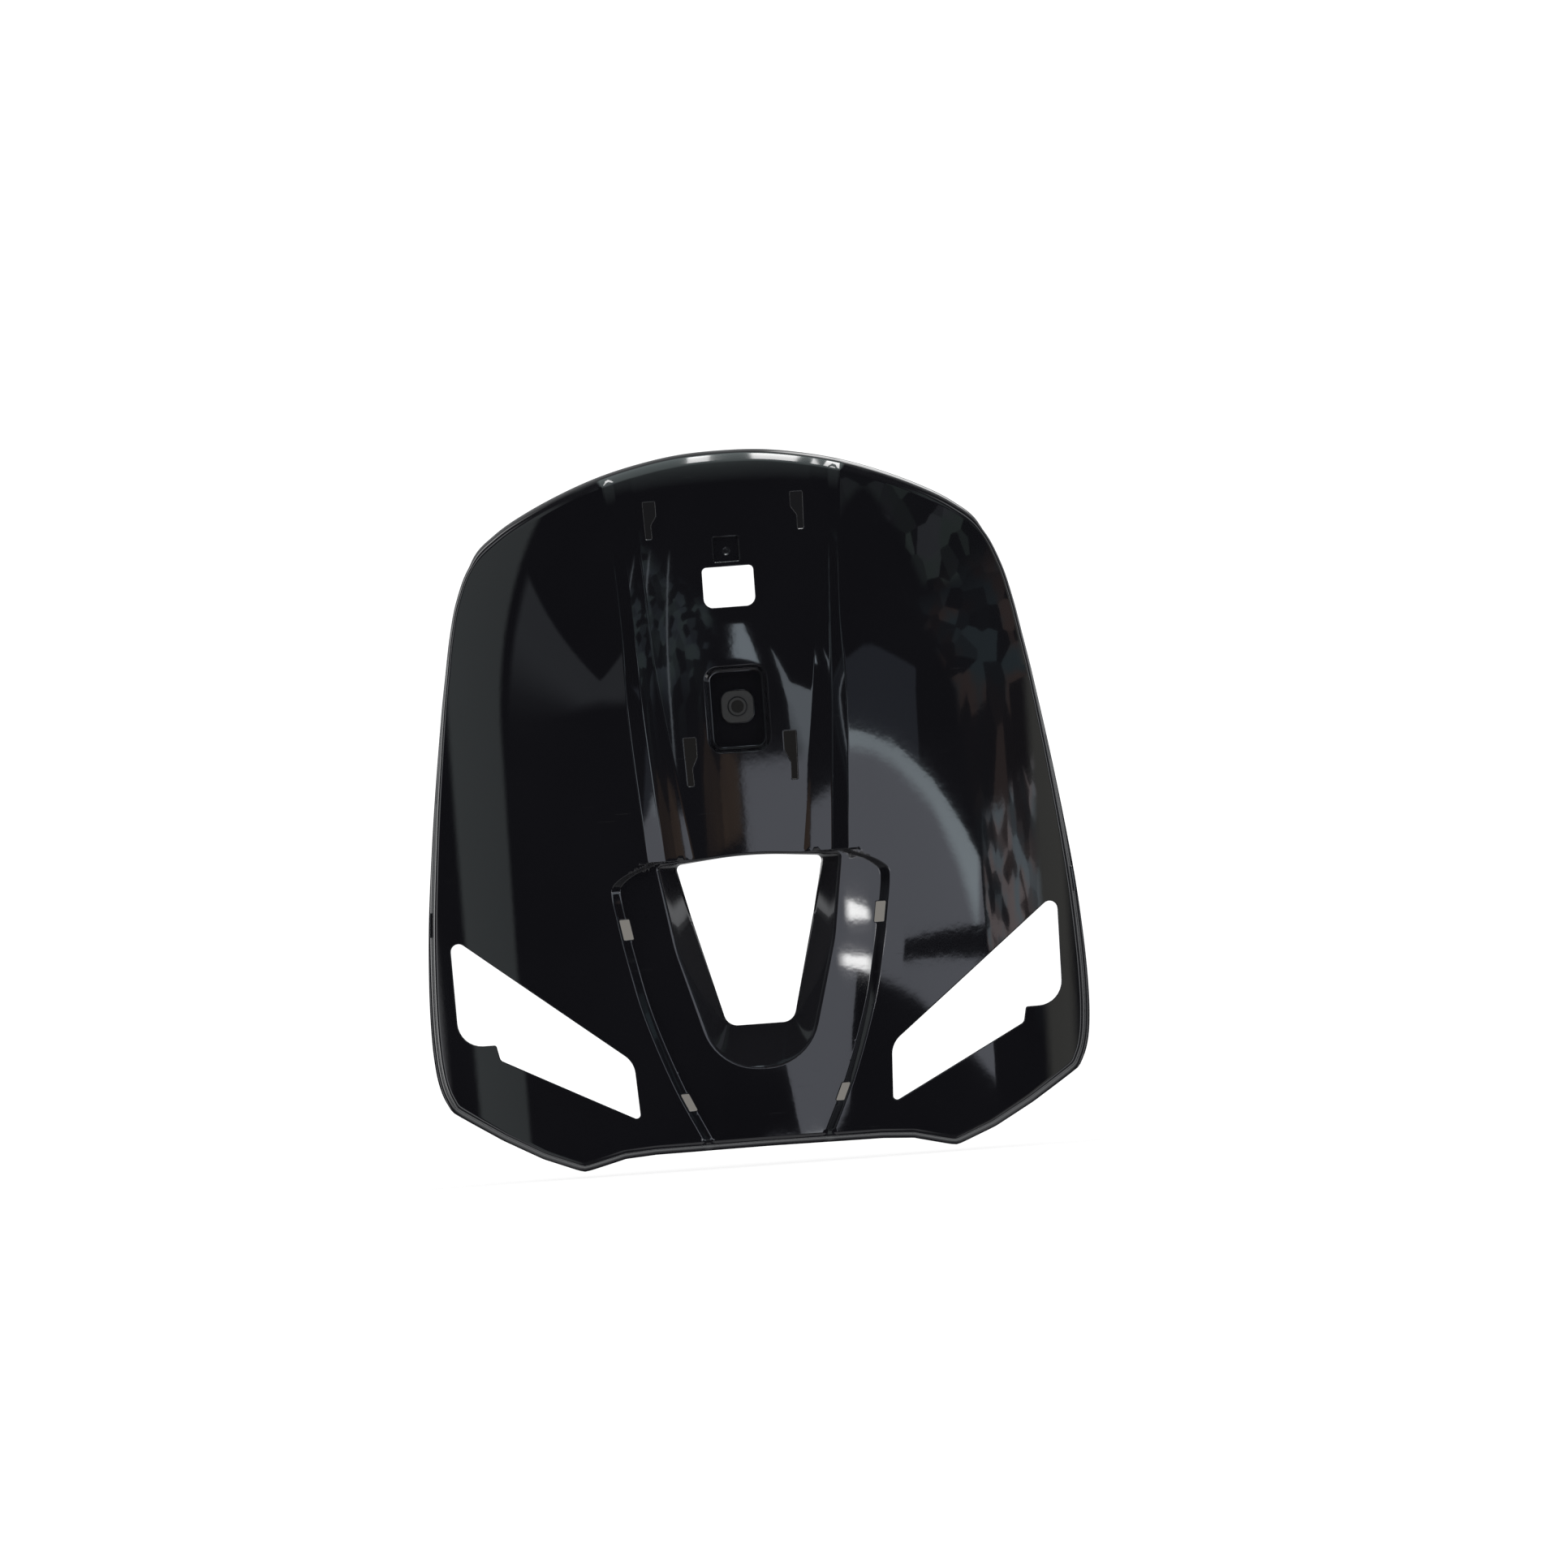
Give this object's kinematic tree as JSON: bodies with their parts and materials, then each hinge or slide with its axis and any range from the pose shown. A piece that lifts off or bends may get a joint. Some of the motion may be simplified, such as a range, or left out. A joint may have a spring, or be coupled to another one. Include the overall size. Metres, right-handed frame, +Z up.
{
  "type": "front fairing panel",
  "caption": "Moulded scooter front fairing panel with a centre channel, screw pocket, funnel opening, garnish seat and two lamp windows.",
  "frame": {"origin": "middle of the centre screw's bore, on its axis", "axes": "+X across the panel, +Z up it as it is fitted, and its face looks towards -Y"},
  "size_m": [0.424, 0.1322, 0.4532],
  "materials": {
    "gloss_black_moulding": "high gloss"
  },
  "bodies": {
    "root": {"front_fairing_panel": "gloss_black_moulding"}
  },
  "joints": []
}
